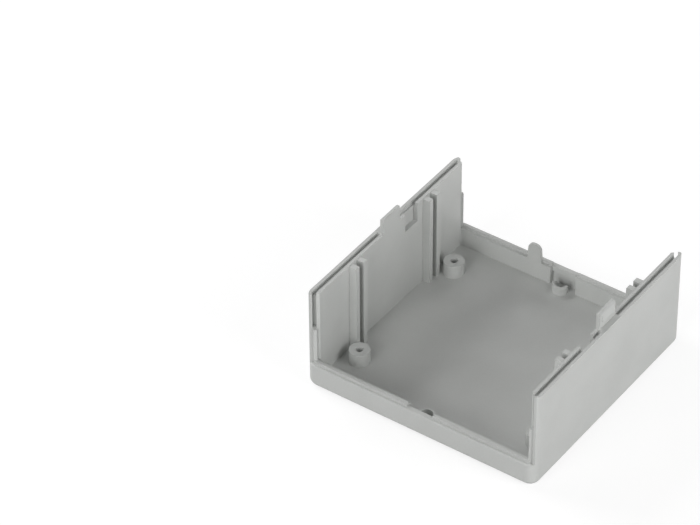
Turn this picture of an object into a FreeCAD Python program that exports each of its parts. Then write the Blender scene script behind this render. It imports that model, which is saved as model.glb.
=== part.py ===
"""One half of a square snap-together enclosure, injection moulded in one piece.

Two of these shells, one turned over and turned a quarter round, close into a box. Each shell
has a square base, two tall walls on its left and right and two low walls at its front and
back. The walls meet on the diagonals, so the tall walls of one shell fill the open sides of
the other. All round the joint a groove in the tall walls takes a tongue, which runs along the
low walls and up the lower half of each mitred edge.

Units are millimetres. Z is up and the origin is the middle of the flat underside. The tall
walls face -X and +X, the low walls -Y and +Y. What one tall wall has, the other has too,
turned half round about Z. So it is with the low walls, but for the guide tongue, which only
the back one has, and for the release holes, which lie at different insets.
"""
import FreeCAD
import Part
import Sketcher
import math
import os
from FreeCAD import Rotation, Vector

SIZES = [
    ("side", 80.0, "outside width of the square base, along X and along Y"),
    ("tall_height", 34.0, "height of the tall walls"),
    ("ledge_height", 8.4, "height of the low walls without their tongue"),
    ("wall", 3.15, "thickness of all four walls"),
    ("floor_thickness", 2.2, "thickness of the base"),
    ("corner_radius", 3.5, "outer radius of the upright corners"),
    ("inner_corner_radius", 0.6, "radius of the upright corners inside"),
    ("base_radius", 2.4, "rounding between the walls and the underside"),
    ("edge_rounding", 0.4, "rounding of the outer edge of the low walls"),
    ("mitre_blunting", 0.4, "how far the sharp edge of a mitred end is cut back"),
    ("outer_skin", 0.95, "wall that stands outside the groove"),
    ("groove_width", 1.25, "width of the groove in the joint"),
    ("groove_depth", 1.3, "depth of the groove in the joint"),
    ("tongue_play", 0.08, "clearance between the tongue and each flank of its groove"),
    ("tongue_height", 0.9, "how far the tongue stands out of the joint"),
    ("tab_width", 8.2, "width of the snap tab on each tall wall"),
    ("tab_thickness", 1.3, "thickness of the snap tab"),
    ("tab_rise", 5.6, "how far the snap tab stands above the tall wall"),
    ("tab_corner_radius", 0.4, "rounding of the two top corners of the snap tab"),
    ("tab_bevel", 0.6, "bevel along the outer top edge of the snap tab"),
    ("tab_shoulder", 0.3, "solid wall top on each side of the snap tab"),
    ("hook_width", 6.4, "width of the hook on the snap tab"),
    ("hook_reach", 0.5, "how far the hook stands out of the snap tab"),
    ("hook_rise", 2.6, "height of the ridge of the hook above the tall wall"),
    ("hook_undercut", 0.5, "height of the sloping underside of the hook"),
    ("gap_play", 0.35, "clearance between the snap tab and each end of its gap"),
    ("catch_thickness", 1.8, "thickness of the low wall at its catch"),
    ("catch_height", 1.9, "height of the catch, down from the top of the low wall"),
    ("catch_recess", 0.7, "how far the low wall steps back below its catch"),
    ("gap_rounding", 0.5, "rounding of the upright edges of the gap"),
    ("guide_offset", 10.2, "from the middle of a wall to its guide tongue or guide pocket"),
    ("pocket_width", 6.4, "width of the guide pocket"),
    ("pocket_depth", 6.7, "depth of the guide pocket, down from the top of the wall"),
    ("pocket_recess", 1.55, "how far the guide pocket goes into the wall"),
    ("guide_width", 5.0, "width of the guide tongue at its foot"),
    ("guide_top_width", 4.2, "width of the guide tongue at its top"),
    ("guide_rise", 6.3, "height of the guide tongue above the low wall"),
    ("guide_rounding", 1.9, "rounding of the two top corners of the guide tongue"),
    ("rib_offset", 19.0, "from the middle of a tall wall to a slot between two ribs"),
    ("rib_slot", 2.1, "width of the slot, which holds the edge of a circuit board"),
    ("rib_thickness", 1.75, "thickness of a rib"),
    ("rib_reach", 2.5, "how far a rib stands out of the wall"),
    ("rib_drop", 0.2, "from the top of the tall wall down to the top of a rib"),
    ("rib_rounding", 0.25, "rounding of a rib where its top turns down"),
    ("boss_x", 31.2, "from the middle of the base to a screw boss along X"),
    ("boss_y", 24.8, "from the middle of the base to a screw boss along Y"),
    ("boss_radius", 3.2, "outer radius of a screw boss"),
    ("boss_height", 4.6, "height of a screw boss above the base"),
    ("pilot_radius", 1.15, "radius of the pilot hole in a screw boss"),
    ("pilot_depth", 5.2, "depth of the pilot hole"),
    ("back_hole_inset", 4.0, "from the outside of the back wall to the middle of its release hole"),
    ("front_hole_inset", 4.7, "from the outside of the front wall to the middle of its hole"),
    ("collar_radius", 2.6, "outer radius of the half collar at a release hole"),
    ("collar_height", 3.0, "height of the half collar above the base"),
    ("release_radius", 1.9, "radius of a release hole"),
    ("overshoot", 2.0, "how far a cut runs on past the face that it opens"),
]

doc = FreeCAD.newDocument("moulded_shell")
sheet = doc.addObject("Spreadsheet::Sheet", "Sizes")
for row, (alias, value, meaning) in enumerate(SIZES, start=1):
    sheet.set("A%d" % row, meaning)
    sheet.set("B%d" % row, str(value))
    sheet.setAlias("B%d" % row, alias)
doc.recompute()

# Places and lengths that several features share, as expressions on the sheet.
HALF = "(Sizes.side / 2)"
INSIDE = "(Sizes.side / 2 - Sizes.wall)"
TOP = "Sizes.tall_height"
LEDGE = "Sizes.ledge_height"
FLOOR = "Sizes.floor_thickness"
MIDDLE = "((Sizes.tall_height + Sizes.ledge_height) / 2)"
GROOVE_OUT = "Sizes.outer_skin"
GROOVE_IN = "(Sizes.outer_skin + Sizes.groove_width)"
TONGUE_OUT = "(Sizes.outer_skin + Sizes.tongue_play)"
TONGUE_IN = "(Sizes.outer_skin + Sizes.groove_width - Sizes.tongue_play)"
TAB_FACE = "(Sizes.side / 2 - Sizes.wall + Sizes.tab_thickness)"
TAB_TOP = "(Sizes.tall_height + Sizes.tab_rise)"
HOOK_RIDGE = "(Sizes.tall_height + Sizes.hook_rise)"
GAP_WIDTH = "(Sizes.tab_width + 2 * Sizes.gap_play)"
CATCH = "(Sizes.ledge_height - Sizes.catch_height)"
OVER = "Sizes.overshoot"


def number(expression):
    """What an expression on the sheet gives at present."""
    return float(sheet.evalExpression(expression))


body = doc.addObject("PartDesign::Body", "housing_shell")
body.Label = "housing_shell"


def origin_part(role):
    """A plane or an axis of the body's own origin."""
    return next(f for f in body.Origin.OriginFeatures if f.Role == role)


def sketch_on(name, role, shift=None):
    """A new sketch on an origin plane, moved along the normal of that plane."""
    sketch = body.newObject("Sketcher::SketchObject", name)
    sketch.AttachmentSupport = [(origin_part(role), "")]
    sketch.MapMode = "FlatFace"
    if shift:
        sketch.setExpression("AttachmentOffset.Base.z", shift)
    return sketch


def tie(sketch, kind, geometry, point, expression):
    """The distance along one axis from the sketch's origin to a point, on either side."""
    value = number(expression)
    if value == 0:
        axis = -2 if kind == "DistanceX" else -1
        sketch.addConstraint(Sketcher.Constraint("PointOnObject", geometry, point, axis))
        return
    if value < 0:
        constraint = Sketcher.Constraint(kind, geometry, point, -1, 1, -value)
        expression = "-(%s)" % expression
    else:
        constraint = Sketcher.Constraint(kind, -1, 1, geometry, point, value)
    index = sketch.addConstraint(constraint)
    sketch.setExpression("Constraints[%d]" % index, expression)


def add_polygon(sketch, corners):
    """A closed outline with straight sides, through corners given as pairs of expressions."""
    points = [Vector(number(u), number(v), 0) for u, v in corners]
    first = sketch.GeometryCount
    count = len(points)
    for i in range(count):
        sketch.addGeometry(Part.LineSegment(points[i], points[(i + 1) % count]), False)
    for i, (u, v) in enumerate(corners):
        follower = first + (i + 1) % count
        sketch.addConstraint(Sketcher.Constraint("Coincident", first + i, 2, follower, 1))
        tie(sketch, "DistanceX", first + i, 1, u)
        tie(sketch, "DistanceY", first + i, 1, v)


def add_rounded_square(sketch, half, radius):
    """A square about the origin with rounded corners."""
    a = number(half)
    r = number(radius)
    first = sketch.GeometryCount
    for turn in (0, 90, 180, 270):
        spin = Rotation(Vector(0, 0, 1), turn)
        start = spin.multVec(Vector(a, r - a, 0))
        end = spin.multVec(Vector(a, a - r, 0))
        centre = spin.multVec(Vector(a - r, a - r, 0))
        circle = Part.Circle(centre, Vector(0, 0, 1), r)
        corner = Part.ArcOfCircle(circle, math.radians(turn), math.radians(turn + 90))
        sketch.addGeometry(Part.LineSegment(start, end), False)
        sketch.addGeometry(corner, False)
    for i in range(4):
        line = first + 2 * i
        arc = line + 1
        follower = first + (2 * i + 2) % 8
        sketch.addConstraint(Sketcher.Constraint("Tangent", line, 2, arc, 1))
        sketch.addConstraint(Sketcher.Constraint("Tangent", arc, 2, follower, 1))
        if i:
            sketch.addConstraint(Sketcher.Constraint("Equal", first + 1, arc))
        upright = "Vertical" if i % 2 == 0 else "Horizontal"
        sketch.addConstraint(Sketcher.Constraint(upright, line))
    tie(sketch, "DistanceX", first, 1, half)
    tie(sketch, "DistanceY", first + 2, 1, half)
    tie(sketch, "DistanceX", first + 4, 1, "-" + half)
    tie(sketch, "DistanceY", first + 6, 1, "-" + half)
    index = sketch.addConstraint(Sketcher.Constraint("Radius", first + 1, r))
    sketch.setExpression("Constraints[%d]" % index, radius)


def add_circles(sketch, centres, radius):
    """Circles of one radius about centres given as pairs of expressions."""
    r = number(radius)
    for u, v in centres:
        circle = Part.Circle(Vector(number(u), number(v), 0), Vector(0, 0, 1), r)
        round_one = sketch.addGeometry(circle, False)
        tie(sketch, "DistanceX", round_one, 3, u)
        tie(sketch, "DistanceY", round_one, 3, v)
        index = sketch.addConstraint(Sketcher.Constraint("Radius", round_one, r))
        sketch.setExpression("Constraints[%d]" % index, radius)


def rectangle(u0, u1, v0, v1):
    return [(u0, v0), (u1, v0), (u1, v1), (u0, v1)]


def half_turn(corners):
    """The same corners turned half round about the origin."""
    return [("-(%s)" % u, "-(%s)" % v) for u, v in corners]


def mirrored(corners):
    """The same corners on the other side of the vertical axis of the sketch."""
    return [("-(%s)" % u, v) for u, v in corners]


def finish(feature, sketch, length, symmetric):
    feature.Profile = sketch
    feature.SideType = "Symmetric" if symmetric else "One side"
    feature.setExpression("Length", length)
    doc.recompute()


def pad(name, sketch, length, symmetric=False):
    """Material from a sketch, along the normal of its plane or to both sides of it."""
    feature = body.newObject("PartDesign::Pad", name)
    finish(feature, sketch, length, symmetric)


def pocket(name, sketch, length, symmetric=False):
    """A cut from a sketch, along the normal of its plane or to both sides of it."""
    before = body.Shape.Volume
    feature = body.newObject("PartDesign::Pocket", name)
    feature.Reversed = True
    finish(feature, sketch, length, symmetric)
    assert feature.Shape.Volume < before, name + " cuts nothing"


def edges_where(test):
    """Names of the edges of the body whose ends and middle all pass a test."""
    names = []
    for i, edge in enumerate(body.Tip.Shape.Edges, start=1):
        middle = edge.valueAt((edge.FirstParameter + edge.LastParameter) / 2)
        spots = [v.Point for v in edge.Vertexes] + [middle]
        if all(test(p) for p in spots):
            names.append("Edge%d" % i)
    return names


def near(a, b):
    return abs(a - b) < 1e-4


def fillet(name, edges, radius):
    base = body.Tip
    feature = body.newObject("PartDesign::Fillet", name)
    feature.Base = (base, edges)
    feature.setExpression("Radius", radius)
    body.Tip = feature
    doc.recompute()
    return feature


# The block that everything is cut from, rounded where the walls turn under.
outline = sketch_on("OutsideOutline", "XY_Plane")
add_rounded_square(outline, HALF, "Sizes.corner_radius")
pad("Block", outline, TOP)
fillet("BaseRounding", edges_where(lambda p: near(p.z, 0)), "Sizes.base_radius")

# The hollow, down to the base.
hollow = sketch_on("InsideOutline", "XY_Plane", FLOOR)
add_rounded_square(hollow, INSIDE, "Sizes.inner_corner_radius")
pocket("Hollow", hollow, TOP)

# The open sides over the low walls, cut along the diagonals.
openings = sketch_on("OpenSides", "XY_Plane", LEDGE)
FAR = "(Sizes.side / 2 + Sizes.overshoot)"
NEAR = "(Sizes.side / 2 - Sizes.wall - Sizes.overshoot)"
for sign in ("-", ""):
    add_polygon(openings, [
        ("-" + FAR, sign + FAR),
        (FAR, sign + FAR),
        (NEAR, sign + NEAR),
        ("-" + NEAR, sign + NEAR),
    ])
pocket("OpenFrontAndBack", openings, TOP)

# The groove along the top of the tall walls.
rim = sketch_on("GrooveOutline", "XY_Plane", TOP + " - Sizes.groove_depth")
for inset in (GROOVE_OUT, GROOVE_IN):
    add_rounded_square(rim, "(%s - %s)" % (HALF, inset), "Sizes.corner_radius - " + inset)
pocket("RimGroove", rim, "Sizes.groove_depth + " + OVER)

# The tongue along the top of the low walls. Inside the tall walls it adds nothing.
ridge = sketch_on("TongueOutline", "XY_Plane", LEDGE)
for inset in (TONGUE_OUT, TONGUE_IN):
    add_rounded_square(ridge, "(%s - %s)" % (HALF, inset), "Sizes.corner_radius - " + inset)
pad("LedgeTongue", ridge, "Sizes.tongue_height")

# The joint on the mitred edges: a groove above the middle and a tongue below it. Each is a
# slab that lies as much on one side of the diagonal as on the other, where it is in the open.
CENTRE = "(Sizes.side / 2 - Sizes.corner_radius)"


def add_mitre_slabs(sketch, inset_out, inset_in, reach):
    """Four oblongs across the diagonals, between two insets from the rounded corners."""
    far = "(%s + (Sizes.corner_radius - %s) / sqrt(2))" % (CENTRE, inset_out)
    near_end = "(%s + (Sizes.corner_radius - %s) / sqrt(2))" % (CENTRE, inset_in)
    step = "%s / sqrt(2)" % reach
    corners = [
        (far + " + " + step, far + " - " + step),
        (far + " - " + step, far + " + " + step),
        (near_end + " - " + step, near_end + " + " + step),
        (near_end + " + " + step, near_end + " - " + step),
    ]
    for oblong in (corners, mirrored(corners)):
        add_polygon(sketch, oblong)
        add_polygon(sketch, half_turn(oblong))


mitre_grooves = sketch_on("MitreGrooveOutline", "XY_Plane", MIDDLE)
add_mitre_slabs(mitre_grooves, GROOVE_OUT, GROOVE_IN, "Sizes.groove_depth")
pocket("MitreGrooves", mitre_grooves, TOP)
mitre_tongues = sketch_on("MitreTongueOutline", "XY_Plane", LEDGE)
add_mitre_slabs(mitre_tongues, TONGUE_OUT, TONGUE_IN, "Sizes.tongue_height")
pad("MitreTongues", mitre_tongues, MIDDLE + " - " + LEDGE + " - Sizes.tongue_play")

# The snap tab in the middle of each tall wall, on a stretch of wall top without a groove.
GROOVE_BOTTOM = TOP + " - Sizes.groove_depth"
SHOULDER_END = "(Sizes.tab_width / 2 + Sizes.tab_shoulder)"
shoulders = sketch_on("ShoulderOutline", "XY_Plane", GROOVE_BOTTOM)
tabs = sketch_on("TabOutline", "XY_Plane", GROOVE_BOTTOM)
shoulder = rectangle(HALF + " - " + GROOVE_IN, HALF + " - " + GROOVE_OUT,
                     "-" + SHOULDER_END, SHOULDER_END)
tab = rectangle(INSIDE, TAB_FACE, "-Sizes.tab_width / 2", "Sizes.tab_width / 2")
for sketch, corners in ((shoulders, shoulder), (tabs, tab)):
    add_polygon(sketch, corners)
    add_polygon(sketch, half_turn(corners))
pad("TabShoulders", shoulders, "Sizes.groove_depth")
pad("SnapTabs", tabs, "Sizes.tab_rise + Sizes.groove_depth")
tab_end = number("Sizes.tab_width / 2")
tab_top = number(TAB_TOP)
tab_corners = edges_where(lambda p: near(abs(p.y), tab_end) and near(p.z, tab_top))
fillet("TabCorners", tab_corners, "Sizes.tab_corner_radius")

# A bevel leads each tab in behind its catch, and the hook lies under the bevel.
BEVEL_FOOT = TAB_TOP + " - Sizes.tab_bevel"
bevels = sketch_on("BevelProfile", "XZ_Plane")
bevel = [
    (TAB_FACE, BEVEL_FOOT),
    (TAB_FACE + " + " + OVER, BEVEL_FOOT + " - " + OVER),
    (TAB_FACE + " + " + OVER, TAB_TOP + " + " + OVER),
    (TAB_FACE + " - Sizes.tab_bevel - " + OVER, TAB_TOP + " + " + OVER),
]
hooks = sketch_on("HookProfile", "XZ_Plane")
hook = [
    (TAB_FACE + " - Sizes.hook_reach", HOOK_RIDGE + " - Sizes.hook_undercut"),
    (TAB_FACE, HOOK_RIDGE + " - Sizes.hook_undercut"),
    (TAB_FACE + " + Sizes.hook_reach", HOOK_RIDGE),
    (TAB_FACE, BEVEL_FOOT),
    (TAB_FACE + " - Sizes.hook_reach", BEVEL_FOOT),
]
for sketch, corners in ((bevels, bevel), (hooks, hook)):
    add_polygon(sketch, corners)
    add_polygon(sketch, mirrored(corners))
pocket("TabBevels", bevels, "Sizes.tab_width + " + OVER, symmetric=True)
pad("TabHooks", hooks, "Sizes.hook_width", symmetric=True)

# The pocket beside each tab, for the guide tongue of the other shell.
pockets = sketch_on("PocketOutline", "XY_Plane", TOP + " - Sizes.pocket_depth")
guide_pocket = rectangle(
    INSIDE + " - " + OVER, INSIDE + " + Sizes.pocket_recess",
    "-Sizes.guide_offset - Sizes.pocket_width / 2",
    "-Sizes.guide_offset + Sizes.pocket_width / 2",
)
add_polygon(pockets, guide_pocket)
add_polygon(pockets, half_turn(guide_pocket))
pocket("GuidePockets", pockets, TOP)

# The gap in each low wall that a snap tab drops into, with a catch over a shallow recess. The
# tongue stops at the ends of the gap, so the catch has a flat top. In front of the gap stands
# half a collar, open to the wall, round the release hole in the base.
BACK_HOLE = "(Sizes.side / 2 - Sizes.back_hole_inset)"
FRONT_HOLE = "(Sizes.front_hole_inset - Sizes.side / 2)"
CATCH_FACE = "(Sizes.side / 2 - Sizes.catch_thickness)"
collar_centres = [("0", BACK_HOLE), ("0", FRONT_HOLE)]
collars = sketch_on("CollarOutline", "XY_Plane", FLOOR)
add_circles(collars, collar_centres, "Sizes.collar_radius")
pad("Collars", collars, "Sizes.collar_height")
gaps = sketch_on("GapOutline", "XY_Plane", FLOOR)
recesses = sketch_on("RecessOutline", "XY_Plane", FLOOR)
catch_tops = sketch_on("CatchTopOutline", "XY_Plane", LEDGE)
gap_left = "-" + GAP_WIDTH + " / 2"
gap_right = GAP_WIDTH + " / 2"
add_polygon(gaps, rectangle(gap_left, gap_right, BACK_HOLE, CATCH_FACE))
add_polygon(gaps, rectangle(gap_left, gap_right, "-" + CATCH_FACE, FRONT_HOLE))
recess = rectangle(gap_left, gap_right, CATCH_FACE + " - " + OVER,
                   CATCH_FACE + " + Sizes.catch_recess")
catch_top = rectangle(gap_left, gap_right, CATCH_FACE + " - " + OVER, HALF + " - " + GROOVE_OUT)
for sketch, corners in ((recesses, recess), (catch_tops, catch_top)):
    add_polygon(sketch, corners)
    add_polygon(sketch, half_turn(corners))
pocket("TabGaps", gaps, TOP)
pocket("CatchRecesses", recesses, CATCH + " - " + FLOOR)
pocket("CatchTops", catch_tops, TOP)
holes = sketch_on("ReleaseHoleOutline", "XY_Plane", "-" + OVER)
add_circles(holes, collar_centres, "Sizes.release_radius")
pocket("ReleaseHoles", holes, TOP)

# The gap has rounded upright edges at the inside of the wall.
gap_end = number(GAP_WIDTH + " / 2")
wall_inside = number(INSIDE)
gap_edges = edges_where(lambda p: near(abs(p.x), gap_end) and near(abs(p.y), wall_inside))
fillet("GapRounding", gap_edges, "Sizes.gap_rounding")

# The guide tongue stands on the inner half of the back wall only.
GUIDE_MIDDLE = "-Sizes.guide_offset"
guide_profile = sketch_on("GuideProfile", "XZ_Plane", GROOVE_IN + " - " + HALF)
add_polygon(guide_profile, [
    (GUIDE_MIDDLE + " - Sizes.guide_width / 2", LEDGE),
    (GUIDE_MIDDLE + " + Sizes.guide_width / 2", LEDGE),
    (GUIDE_MIDDLE + " + Sizes.guide_top_width / 2", LEDGE + " + Sizes.guide_rise"),
    (GUIDE_MIDDLE + " - Sizes.guide_top_width / 2", LEDGE + " + Sizes.guide_rise"),
])
pad("GuideTongue", guide_profile, "Sizes.wall - " + GROOVE_IN)
guide_top = number(LEDGE + " + Sizes.guide_rise")
guide_ends = [number(GUIDE_MIDDLE + sign + "Sizes.guide_top_width / 2") for sign in (" - ", " + ")]
guide_corners = edges_where(
    lambda p: near(p.z, guide_top) and p.y > 0 and any(near(p.x, end) for end in guide_ends)
)
fillet("GuideRounding", guide_corners, "Sizes.guide_rounding")

# Two ribs on each side of each tall wall leave a slot for the edge of a circuit board.
ribs = sketch_on("RibOutline", "XY_Plane", FLOOR)
for side_sign in ("-", ""):
    slot = side_sign + "Sizes.rib_offset"
    for gap_sign in (" - ", " + "):
        slot_edge = slot + gap_sign + "Sizes.rib_slot / 2"
        rib = rectangle(INSIDE + " - Sizes.rib_reach", INSIDE, slot_edge,
                        slot_edge + gap_sign + "Sizes.rib_thickness")
        add_polygon(ribs, rib)
        add_polygon(ribs, half_turn(rib))
pad("Ribs", ribs, TOP + " - Sizes.rib_drop - " + FLOOR)
rib_top = number(TOP + " - Sizes.rib_drop")
rib_face = number(INSIDE + " - Sizes.rib_reach")
rib_ends = edges_where(lambda p: near(p.z, rib_top) and near(abs(p.x), rib_face))
fillet("RibRounding", rib_ends, "Sizes.rib_rounding")

# A screw boss stands near each corner, with a blind pilot hole.
boss_centres = [(sx + "Sizes.boss_x", sy + "Sizes.boss_y") for sx in ("-", "") for sy in ("-", "")]
bosses = sketch_on("BossOutline", "XY_Plane", FLOOR)
add_circles(bosses, boss_centres, "Sizes.boss_radius")
pad("Bosses", bosses, "Sizes.boss_height")
pilots = sketch_on("PilotOutline", "XY_Plane", FLOOR + " + Sizes.boss_height - Sizes.pilot_depth")
add_circles(pilots, boss_centres, "Sizes.pilot_radius")
pocket("PilotHoles", pilots, TOP)

# The outer edge of the low walls is eased a little.
half_side = number(HALF)
ledge_z = number(LEDGE)
ledge_edges = edges_where(lambda p: near(p.z, ledge_z) and near(abs(p.y), half_side))
fillet("LedgeEasing", ledge_edges, "Sizes.edge_rounding")

# The sharp upright edges of the mitred ends are cut blunt.
TIP = "(%s + Sizes.corner_radius / sqrt(2))" % CENTRE
blunt_ends = sketch_on("BluntEndOutline", "XY_Plane", LEDGE)
BLUNT_FROM = TIP + " - Sizes.mitre_blunting"
BLUNT_TO = TIP + " + Sizes.mitre_blunting"
blunt_end = rectangle(BLUNT_FROM, BLUNT_TO, BLUNT_FROM, BLUNT_TO)
for corners in (blunt_end, mirrored(blunt_end)):
    add_polygon(blunt_ends, corners)
    add_polygon(blunt_ends, half_turn(corners))
pocket("BluntEnds", blunt_ends, TOP)

# Every object is sound before the shell is written.
doc.recompute()
for item in doc.Objects:
    assert not {"Invalid", "Error"} & set(item.State), item.Name
shell = body.Shape
assert not shell.isNull() and shell.isValid() and len(shell.Solids) == 1
os.makedirs("parts", exist_ok=True)
shell.exportStep("parts/%s.step" % body.Label)
print(body.Label, round(shell.Volume, 1), "mm3", shell.BoundBox)
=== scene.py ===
# %% [markdown]
# # A moulded enclosure half, dressed in plastic
#
# The object is one half of a small square enclosure, injection moulded in one go from light
# grey plastic. Every wall, rib, boss and snap tab belongs to the same piece, so the packed
# model already holds the whole shape. What is left for Blender is the finish of the plastic
# and a plain studio to see it in. A mesh could be built here from scratch, but then it could
# drift away from the model that was measured, so the imported piece is used as it is.

# %% Load the imported part
import math

import bpy
from mathutils import Matrix, Vector

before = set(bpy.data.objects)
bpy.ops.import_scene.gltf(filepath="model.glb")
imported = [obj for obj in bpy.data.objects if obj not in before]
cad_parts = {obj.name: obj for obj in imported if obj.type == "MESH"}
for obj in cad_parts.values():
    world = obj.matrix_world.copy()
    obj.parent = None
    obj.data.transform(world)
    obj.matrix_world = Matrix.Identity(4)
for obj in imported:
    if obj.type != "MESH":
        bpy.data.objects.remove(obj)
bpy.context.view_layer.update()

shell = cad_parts["housing_shell"]

# %% [markdown]
# ## Where the camera looks from
#
# A small product is photographed from far away with a long lens, which keeps upright edges
# nearly parallel. This camera stands to the right of the front, forty degrees above the
# table, and leans half a degree. One could drag a camera about until the view looks right,
# but three angles say it exactly, and each can be changed alone. They give three directions:
# the one toward the camera, and the ones that point right and up in its picture.

# %% Three directions from three angles
azimuth = math.radians(35.62)
elevation = math.radians(40.0)
lean = math.radians(-0.54)

toward_camera = Vector((
    math.sin(azimuth) * math.cos(elevation),
    -math.cos(azimuth) * math.cos(elevation),
    math.sin(elevation),
))
level_right = Vector((math.cos(azimuth), math.sin(azimuth), 0))
level_up = toward_camera.cross(level_right)
picture_right = level_right * math.cos(lean) + level_up * math.sin(lean)
picture_up = level_up * math.cos(lean) - level_right * math.sin(lean)
print("The camera lies toward", [round(part, 3) for part in toward_camera])

# %% [markdown]
# ## The camera itself
#
# The shell is not in the middle of the picture: the centre of its underside lies to the right
# and below. Moving the camera sideways by hand until that fits would take many tries. The
# offset in dots of the picture, times the metres that one dot covers at this distance, says
# at once how far the camera steps the other way. The length of the lens is known in dots too,
# and on a sensor 36 mm wide it comes to almost 200 mm.

# %% Make the camera
PICTURE_WIDTH = 700
PICTURE_HEIGHT = 525
CENTRE_FROM_LEFT = 494.1
CENTRE_FROM_TOP = 360.9
LENS_DOTS = 3854
SENSOR_WIDTH = 36
DISTANCE = 1.1405

metres_per_dot = DISTANCE / LENS_DOTS
centre_right = (CENTRE_FROM_LEFT - PICTURE_WIDTH / 2) * metres_per_dot
centre_up = (PICTURE_HEIGHT / 2 - CENTRE_FROM_TOP) * metres_per_dot
camera_axes = Matrix((picture_right, picture_up, toward_camera))
camera_place = camera_axes.transposed() @ Vector((-centre_right, -centre_up, DISTANCE))

camera = bpy.data.objects.new("camera", bpy.data.cameras.new("camera"))
camera.data.sensor_width = SENSOR_WIDTH
camera.data.lens = LENS_DOTS / PICTURE_WIDTH * SENSOR_WIDTH
camera.data.clip_end = 20
camera.matrix_world = Matrix.Translation(camera_place) @ camera_axes.transposed().to_4x4()
bpy.context.collection.objects.link(camera)
bpy.context.scene.camera = camera
print("The camera stands at", [round(part, 3) for part in camera_place])
print("Its lens is", round(camera.data.lens), "mm long")

# %% [markdown]
# ## Sums with shader nodes
#
# A finish is mostly arithmetic: how rough, how light and how bumpy each spot of the plastic
# is. In the node editor each plus and times is a node of its own with two wires. Written as
# Python the same sum fits on one line. The class below wraps one output of a node, so that
# `1 - mask` or `grain * 0.6` puts in the Math node and its wires. Anything else, such as a
# noise or a colour mix, comes from its one method `node`.


# %% A wrapper for one output of a node
class Signal:
    """One output socket of a shader node, which can be added, multiplied and passed on."""

    def __init__(self, tree, socket=None):
        self.tree = tree
        self.socket = socket

    def node(self, kind, settings=None, values=None, output=0):
        """A new node: its settings first, then the values or the wires of its inputs."""
        made = self.tree.nodes.new(kind)
        for name, setting in (settings or {}).items():
            setattr(made, name, setting)
        for name, value in (values or {}).items():
            if isinstance(value, Signal):
                self.tree.links.new(value.socket, made.inputs[name])
            else:
                made.inputs[name].default_value = value
        return Signal(self.tree, made.outputs[output] if len(made.outputs) else None)

    def maths(self, operation, first, second=0.0):
        return self.node("ShaderNodeMath", {"operation": operation}, {0: first, 1: second})

    def __add__(self, other):
        return self.maths("ADD", self, other)

    __radd__ = __add__

    def __sub__(self, other):
        return self.maths("SUBTRACT", self, other)

    def __rsub__(self, other):
        return self.maths("SUBTRACT", other, self)

    def __mul__(self, other):
        return self.maths("MULTIPLY", self, other)

    __rmul__ = __mul__

    def ramp(self, low, high):
        """0 below the low value, 1 above the high one, and a soft step in between."""
        return self.node(
            "ShaderNodeMapRange",
            {"interpolation_type": "SMOOTHSTEP"},
            {"Value": self, "From Min": low, "From Max": high},
        )


print("A signal can be added, subtracted, multiplied and ramped")

# %% [markdown]
# ## Beginning and ending a material
#
# Every material starts as an empty sheet of nodes and ends with one wire into its output.
# Blender would put a shader of its own on the sheet, and it could be looked up and changed
# instead. Starting empty is plainer: what is on the sheet is then only what the cells below
# put there. The greys of this scene are given by one number each.


# %% Helpers for materials
def new_material(name):
    """An empty material, and a Signal from which its nodes are made."""
    material = bpy.data.materials.new(name)
    material.use_nodes = True
    material.node_tree.nodes.clear()
    return material, Signal(material.node_tree)


def show(signal):
    """Joins a finished shader to the material's output."""
    signal.node("ShaderNodeOutputMaterial", {}, {"Surface": signal})


def grey(level):
    """A plain grey: black is 0 and white is 1."""
    return (level, level, level, 1)


plastic, start = new_material("light_grey_moulded_plastic")
print("The material", plastic.name, "is empty so far")

# %% [markdown]
# ## Where on the shell a spot lies
#
# The mould for such a shell has two halves. The hollow half shapes the outside, and its
# steel is eroded with sparks, which leaves a fine even grain. The core shapes the inside and
# is only smoothed, so the inside is a little sleeker. One could paint the two by hand or
# split the mesh into two materials. The piece sits at the origin with its real size, so
# the object coordinates are metres in the model's own frame, and a mask from a few
# comparisons puts each finish exactly on its own faces.


# %% The inside mask
def from_centre(beginning):
    """How far a spot lies from the middle, along X or along Y, whichever is more."""
    spot = beginning.node("ShaderNodeTexCoord", output="Object")
    along_x = beginning.node("ShaderNodeSeparateXYZ", {}, {0: spot}, "X")
    along_y = beginning.node("ShaderNodeSeparateXYZ", {}, {0: spot}, "Y")
    return beginning.maths(
        "MAXIMUM", along_x.maths("ABSOLUTE", along_x), along_y.maths("ABSOLUTE", along_y)
    )


WALL_INSIDE = 0.03685
OUTSIDE_LAYER = 0.0010
place = start.node("ShaderNodeTexCoord", output="Object")
height = place.node("ShaderNodeSeparateXYZ", {}, {0: place}, "Z")
between_walls = 1 - from_centre(start).ramp(WALL_INSIDE + 0.0001, WALL_INSIDE + 0.0003)
inside = between_walls * height.ramp(OUTSIDE_LAYER, OUTSIDE_LAYER + 0.0004)
print("The inside begins", 1000 * WALL_INSIDE, "mm from the middle")

# %% [markdown]
# ## The grain
#
# A spark-eroded mould leaves tiny craters, about a tenth to a fifth of a millimetre wide and
# a few thousandths of a millimetre deep. They are too small to see one by one from here, but
# they break up the gloss. An image could carry them, but it would need an unwrapped mesh. A
# noise in the object coordinates has the same scale on every face and no seams. The core
# side gets the same noise at about a third of the height, with a slow waviness under it,
# because a plain plastic face of this size is never quite flat.

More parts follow.
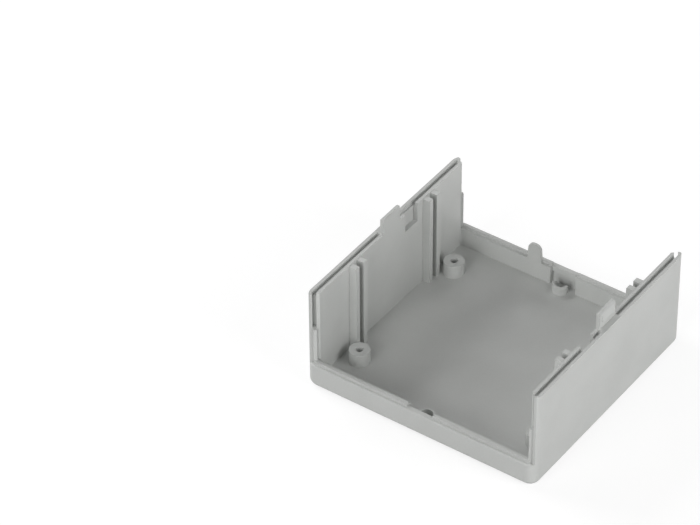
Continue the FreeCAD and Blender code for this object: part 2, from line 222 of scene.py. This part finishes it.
# %% Fine craters and slow waves
CRATERS_PER_METRE = 6500.0
craters = place.node(
    "ShaderNodeTexNoise", {},
    {"Vector": place, "Scale": CRATERS_PER_METRE, "Detail": 3.0, "Roughness": 0.6},
)
pits = place.node(
    "ShaderNodeTexVoronoi", {"feature": "SMOOTH_F1"},
    {"Vector": place, "Scale": 4200.0, "Smoothness": 0.6},
)
waves = place.node(
    "ShaderNodeTexNoise", {}, {"Vector": place, "Scale": 38.0, "Detail": 1.0, "Roughness": 0.4}
)
grain = craters * 0.6 + pits * 0.4
grain_height = grain * (1 - inside * 0.7)
print("Craters are about", round(1000 / CRATERS_PER_METRE, 2), "mm wide")

# %% [markdown]
# ## Softened edges
#
# No moulded edge is truly sharp: the mould is cut with a small radius and the plastic
# shrinks away from it, so the crispest edge is still rounded by about a tenth of a
# millimetre. These roundings catch the light along the ribs and rims. Cutting them all in
# the mesh would add many thousands of faces for something narrower than a dot of the
# picture. The Bevel node bends only the shading near an edge. Where its normal departs from
# the true one there is an edge, and that gives a mask too: edges are rubbed a little
# smoother, and a lighter grey on them is a painted highlight where the roundings catch light.

# %% Rounded shading along the edges
EDGE_RADIUS = 0.0001
soft_normal = start.node("ShaderNodeBevel", {"samples": 6}, {"Radius": EDGE_RADIUS})
flat_normal = start.node("ShaderNodeNewGeometry", output="Normal")
agreement = start.node(
    "ShaderNodeVectorMath", {"operation": "DOT_PRODUCT"}, {0: soft_normal, 1: flat_normal}, "Value"
)
edge = 1 - agreement.ramp(0.80, 0.995)
waved = start.node(
    "ShaderNodeBump", {},
    {"Strength": 0.25, "Distance": 0.0004, "Height": waves, "Normal": soft_normal},
)
grained = start.node(
    "ShaderNodeBump", {},
    {"Strength": 0.5, "Distance": 0.00003, "Height": grain_height, "Normal": waved},
)
print("Edges are rounded by", 1000 * EDGE_RADIUS, "mm")

# %% [markdown]
# ## The colour
#
# The pigment of a light grey housing is a plain light grey with the faintest touch of green.
# It is mixed into the granulate, so it varies very little: slow clouds where the melt
# flowed, and a fine speckle from the grain. A colour ramp would do. Here a Mix node goes
# between two near greys, because then the two ends can be read off and changed by eye. Its
# colour inputs are numbers 6 and 7 and its colour output is number 2, because the node keeps
# sockets for plain numbers and for vectors before them.

# %% Two near greys, mixed by slow clouds and fine speckle
CLEAR_GREY = (0.570, 0.580, 0.565, 1.0)
DEEP_GREY = (0.530, 0.540, 0.526, 1.0)
# A lighter grey, painted along the edges as a highlight where the roundings catch the light.
EDGE_HIGHLIGHT_GREY = (0.630, 0.638, 0.620, 1.0)
clouds = place.node(
    "ShaderNodeTexNoise", {}, {"Vector": place, "Scale": 55.0, "Detail": 4.0, "Roughness": 0.55}
)
speckle = place.node(
    "ShaderNodeTexNoise", {}, {"Vector": place, "Scale": 1900.0, "Detail": 2.0, "Roughness": 0.5}
)
depth = clouds.ramp(0.3, 0.7) * 0.7 + speckle.ramp(0.35, 0.65) * 0.3


def mixed(factor, first, second):
    """A colour between two others."""
    return factor.node(
        "ShaderNodeMix", {"data_type": "RGBA"}, {0: factor, 6: first, 7: second}, output=2
    )


body_colour = mixed(depth, CLEAR_GREY, DEEP_GREY)
# The lighter grey along the edges is a painted highlight, not a colour of the plastic.
colour = mixed(edge * 0.5, body_colour, EDGE_HIGHLIGHT_GREY)
print("The grey is about", [round(part, 3) for part in CLEAR_GREY[:3]])

# %% [markdown]
# ## The gloss
#
# The grain makes the outside satin: light spreads over a wide soft patch. Inside, the core's
# smoother steel leaves a slightly tighter gloss, and rubbed edges are a little glossier
# still. Roughness carries most of that. Bump alone would need far more samples to give the
# same look from this distance. The refractive index is that of a styrene plastic, and it is
# the same everywhere, so it is set on the shader.

# %% Put the plastic on the shell
SATIN = 0.50
roughness = SATIN + (depth - 0.5) * 0.06 - inside * 0.05 - edge * 0.08
shader = start.node("ShaderNodeBsdfPrincipled", {}, {
    "Base Color": colour,
    "Roughness": roughness,
    "IOR": 1.53,
    "Normal": grained,
})
show(shader)
shell.data.materials.clear()
shell.data.materials.append(plastic)
print("The plastic has", len(plastic.node_tree.nodes), "nodes")

# %% [markdown]
# ## The table
#
# The shell stands on a plain pale surface. To the camera the surface glows nearly white of
# itself, and the little light that it also scatters shows the shadow beside the shell. To
# the lamps it is a plain card, so that it throws no more light up at the shell than a studio
# table would. Stronger lamps could make a real table as white as this, but they would bleach
# the shell with it. The Light Path node tells the camera and the light apart. Right under the
# shell, as far out as the release holes reach, the surface stays a plain card for the camera
# too, or it would shine up through them.

# %% A pale table
RELEASE_HOLES_REACH = 0.0379
bpy.ops.mesh.primitive_plane_add(size=6)
table = bpy.context.object
table.name = "pale_table"
paper, paper_start = new_material("pale_paper")
seen = paper_start.node("ShaderNodeLightPath", output="Is Camera Ray")
mirrored = paper_start.node("ShaderNodeLightPath", output="Is Glossy Ray")
looked_at = paper_start.maths("MAXIMUM", seen, mirrored)
beside_shell = from_centre(paper_start).ramp(RELEASE_HOLES_REACH, RELEASE_HOLES_REACH + 0.0003)
card = paper_start.node("ShaderNodeBsdfDiffuse", {}, {"Color": grey(0.5)})
shade = paper_start.node("ShaderNodeBsdfDiffuse", {}, {"Color": grey(0.28)})
glow = paper_start.node("ShaderNodeEmission", {}, {"Color": grey(0.78), "Strength": 1.0})
bright = paper_start.node("ShaderNodeAddShader", {}, {0: shade, 1: glow})
factor = looked_at * beside_shell
show(paper_start.node("ShaderNodeMixShader", {}, {0: factor, 1: card, 2: bright}))
table.data.materials.append(paper)
print("The table is", table.dimensions.x, "m wide")

# %% [markdown]
# ## The world behind the table
#
# Past the far end of the table the camera looks into the world. A white wall could stand
# there, but it would throw light back at the shell. The world does the same without that:
# it is white to the camera and dark to everything else, so that the lamps alone light the
# shell.

# %% A white world
world = bpy.data.worlds.new("white_studio")
bpy.context.scene.world = world
world.use_nodes = True
world.node_tree.nodes.clear()
sky = Signal(world.node_tree)
white = sky.node("ShaderNodeBackground", {}, {"Color": grey(1), "Strength": 1.0})
dark = sky.node("ShaderNodeBackground", {}, {"Color": grey(1), "Strength": 0.0})
sky_seen = sky.node("ShaderNodeLightPath", output="Is Camera Ray")
sky_shader = sky.node("ShaderNodeMixShader", {}, {0: sky_seen, 1: dark, 2: white})
sky.node("ShaderNodeOutputWorld", {}, {"Surface": sky_shader})
print("The world is white to the camera")

# %% [markdown]
# ## Soft lamps
#
# Product light for a box comes from big diffusers close to the table. The low ones reach in
# over the low walls and brush the outside. They leave the corners and the floor of the shell
# darker, which shows how deep it is. The high ones come over the tall walls. Sun lamps or one
# strong lamp would cut hard shadows behind the ribs. Each side gets about the same light, so
# the shell looks alike from all round. Each diffuser here is a square lamp 35 cm wide, 60 cm
# away, and its level says how bright a white card that faces it would be.


# %% Diffusers round the table
DIFFUSER_WIDTH = 0.35
DIFFUSER_DISTANCE = 0.6
AIM = Vector((0, 0, 0.02))


def diffuser(name, azimuth_degrees, elevation_degrees, level):
    """A soft square lamp. Azimuth 0 is the front and 90 the right."""
    turn = math.radians(azimuth_degrees)
    rise = math.radians(elevation_degrees)
    direction = Vector((
        math.sin(turn) * math.cos(rise),
        -math.cos(turn) * math.cos(rise),
        math.sin(rise),
    ))
    lamp = bpy.data.lights.new(name, "AREA")
    lamp.shape = "SQUARE"
    lamp.size = DIFFUSER_WIDTH
    lamp.energy = level * math.pi ** 2 * DIFFUSER_DISTANCE ** 2
    holder = bpy.data.objects.new(name, lamp)
    holder.location = AIM + direction * DIFFUSER_DISTANCE
    holder.rotation_euler = direction.to_track_quat("Z", "Y").to_euler()
    bpy.context.collection.objects.link(holder)
    return level


total = diffuser("front_diffuser", 0, 15, 0.42)
total += diffuser("right_diffuser", 90, 15, 0.435)
total += diffuser("back_diffuser", 180, 15, 0.31)
total += diffuser("high_front_diffuser", 0, 35, 0.16)
total += diffuser("high_right_diffuser", 90, 35, 0.255)
total += diffuser("high_left_diffuser", 270, 35, 0.54)
total += diffuser("high_back_diffuser", 225, 35, 0.12)
print("The levels add up to", round(total, 2))

# %% [markdown]
# ## The last step
#
# The picture is shown without any film look, so that the grey comes out as it was mixed. The
# shell itself was not moved or swollen.

# %% Finish
bpy.context.scene.view_settings.view_transform = "Standard"
